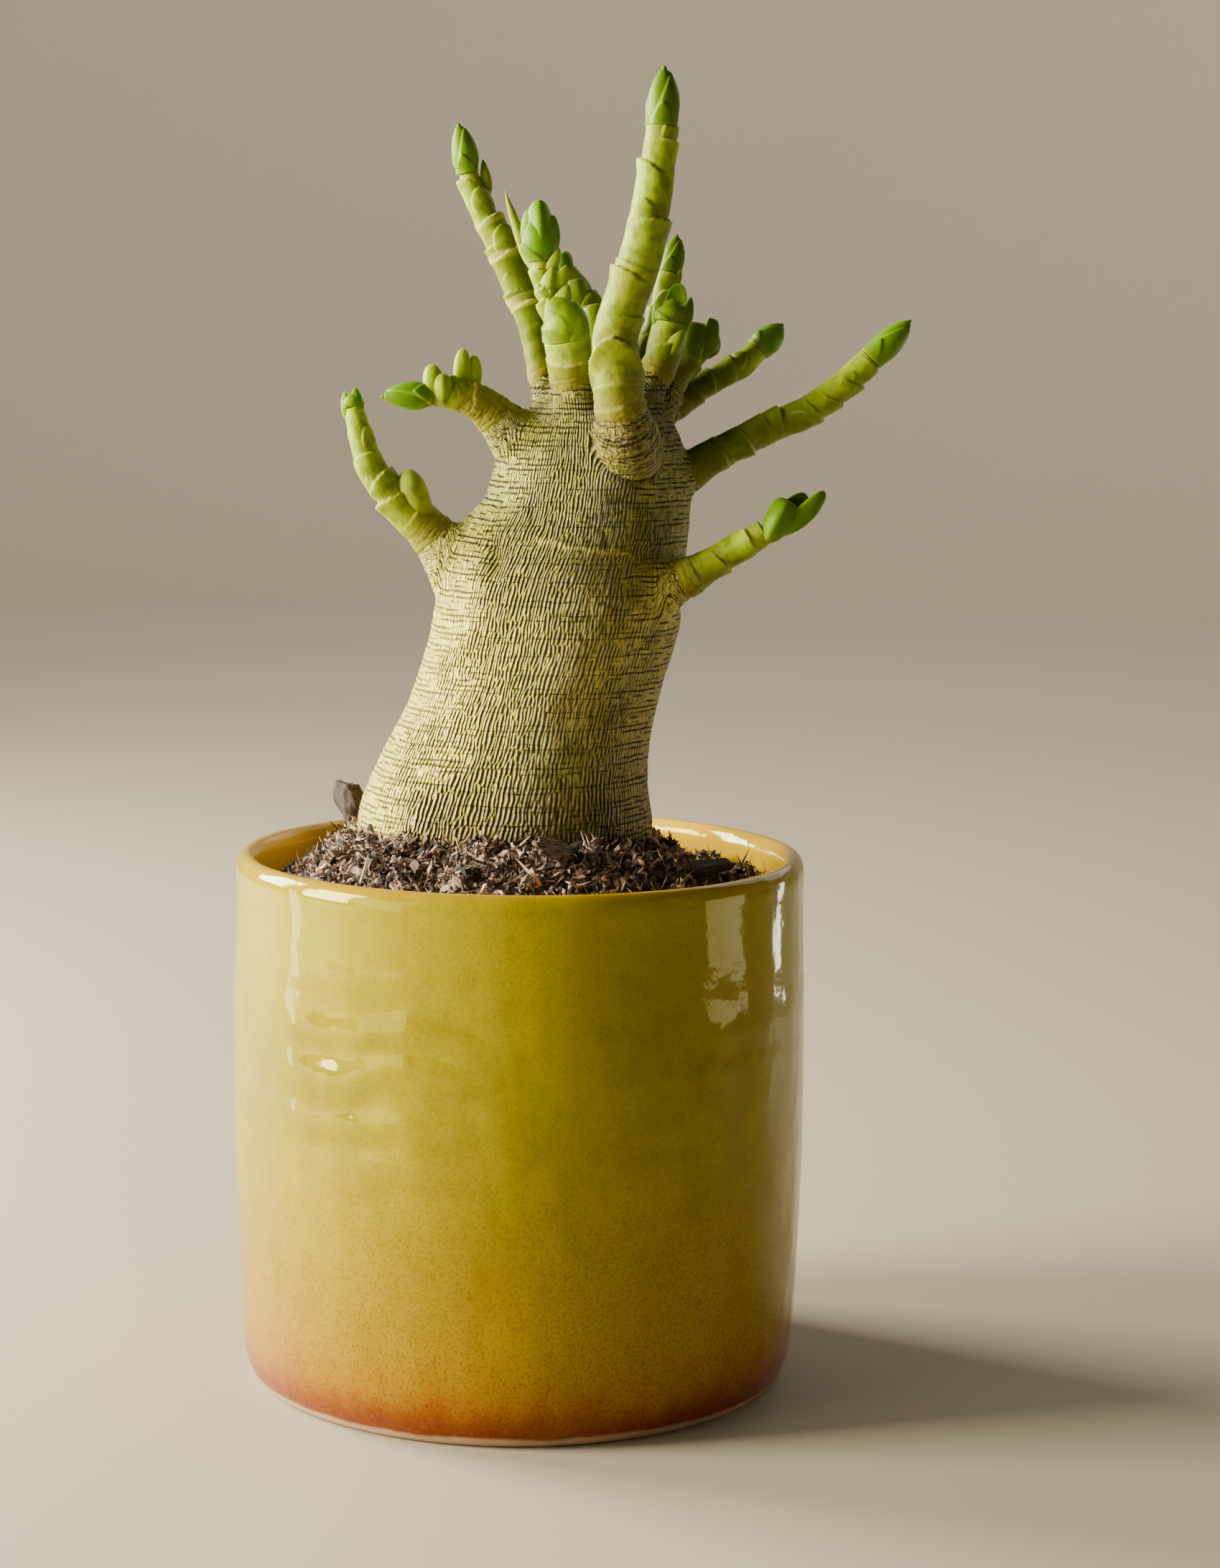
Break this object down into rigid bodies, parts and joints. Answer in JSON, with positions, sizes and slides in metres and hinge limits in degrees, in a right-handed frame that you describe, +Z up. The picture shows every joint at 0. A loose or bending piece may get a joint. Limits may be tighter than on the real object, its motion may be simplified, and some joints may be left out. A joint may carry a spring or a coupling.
{
  "type": "potted desert rose",
  "caption": "Young desert rose with a swollen wrinkled caudex and green budding shoots, standing in potting mix in a glazed cylindrical pot.",
  "frame": {"origin": "centre of the pot's flat base, on the surface it stands on", "axes": "+Z up along the pot's axis; -Y is the front of the plant; +X to the viewer's right"},
  "size_m": [0.1059, 0.0904, 0.2043],
  "materials": {
    "pot_glaze": "gloss",
    "potting_mix": "matte",
    "bark_chip": "matte",
    "caudex_bark": "matte",
    "green_stem": "satin",
    "bud_leaf": "satin"
  },
  "bodies": {
    "root": {"pot": "pot_glaze", "soil": "potting_mix", "caudex": "caudex_bark", "bark_chip_front": "bark_chip", "bark_chip_left": "bark_chip", "bark_chip_right": "bark_chip", "shoot_left_low": "green_stem", "shoot_left_high": "green_stem", "shoot_back_left_tall": "green_stem", "shoot_crown": "green_stem", "shoot_back_centre": "green_stem", "shoot_front_stub": "green_stem", "shoot_front_tall": "green_stem", "shoot_behind_tall": "green_stem", "shoot_beak": "green_stem", "shoot_right_stub": "green_stem", "shoot_right_mid": "green_stem", "shoot_right_long": "green_stem", "shoot_right_low": "green_stem", "bud_left_low": "bud_leaf", "bud_left_high": "bud_leaf", "bud_back_left_tall": "bud_leaf", "bud_crown": "bud_leaf", "bud_back_centre": "bud_leaf", "bud_front_stub": "bud_leaf", "bud_front_tall": "bud_leaf", "bud_behind_tall": "bud_leaf", "bud_beak": "bud_leaf", "bud_right_stub": "bud_leaf", "bud_right_mid": "bud_leaf", "bud_right_long": "bud_leaf", "bud_right_low": "bud_leaf"}
  },
  "joints": []
}
